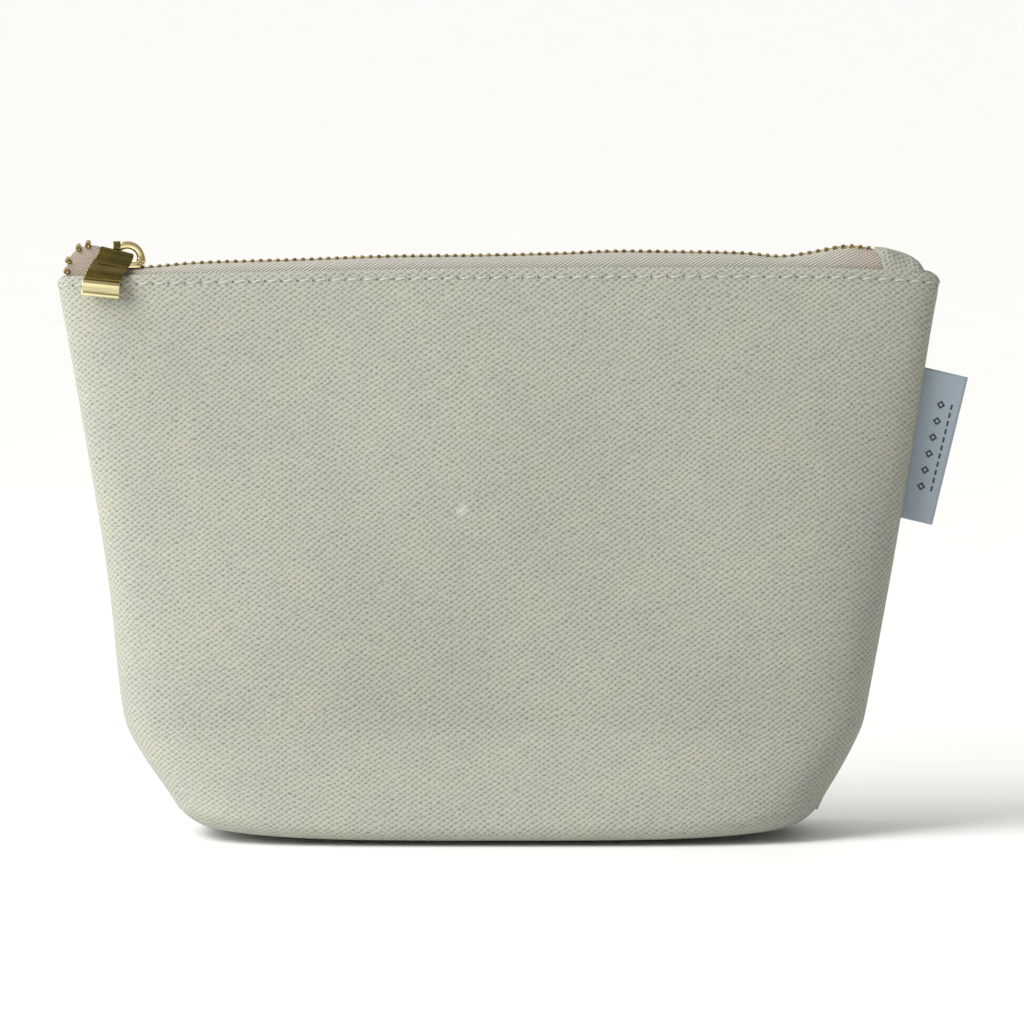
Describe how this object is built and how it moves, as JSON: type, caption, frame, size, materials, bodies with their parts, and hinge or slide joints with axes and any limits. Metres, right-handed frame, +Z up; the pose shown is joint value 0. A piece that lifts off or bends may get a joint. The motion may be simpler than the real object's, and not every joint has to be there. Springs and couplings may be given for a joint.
{
  "type": "zippered pouch",
  "caption": "Lined canvas cosmetic pouch with a boxed base, brass zip, hooped slider with a strap puller and a side ribbon label.",
  "frame": {"origin": "middle of the base's underside, where the front and back panels meet", "axes": "+X along the zip towards its right end as seen from the front, +Z up, the front faces -Y"},
  "size_m": [0.2256, 0.0566, 0.1497],
  "materials": {
    "canvas": "natural unbleached plain-weave cotton duck",
    "lining": "thin plain cotton",
    "zip_tape": "beige twill-woven polyester tape",
    "teeth_brass": "antiqued brass",
    "slider_gold": "polished pale gold plate",
    "puller_gold": "polished pale gold plate",
    "label_satin": "pale blue-grey woven satin ribbon",
    "thread": "off-white cotton-poly sewing thread"
  },
  "bodies": {
    "pouch": {"front_panel": "canvas", "back_panel": "canvas", "front_lining": "lining", "back_lining": "lining", "zip_tape_front": "zip_tape", "zip_tape_back": "zip_tape", "zip_teeth_front": "teeth_brass", "zip_teeth_back": "teeth_brass", "zip_end_tab": "canvas", "side_label": "label_satin", "topstitch_front": "thread", "topstitch_back": "thread", "seam_thread_left": "thread", "seam_thread_right": "thread", "seam_thread_bottom": "thread", "seam_thread_corner_left": "thread", "seam_thread_corner_right": "thread"},
    "slider": {"slider_body": "slider_gold"},
    "puller": {"pull_tab": "puller_gold"}
  },
  "joints": [
    {"name": "zip_slide", "type": "slide", "parent": "pouch", "child": "slider", "axis": [0.9997, 0, 0.0244], "range_m": [0, 0.178], "deforming": ["zip_teeth_front", "zip_teeth_back"]},
    {"name": "puller_swing", "type": "hinge", "parent": "slider", "child": "puller", "pos_m": [-0.09394, 0, 0.14707], "axis": [-0.9997, 0, -0.0244], "range_deg": [0, 200]}
  ]
}
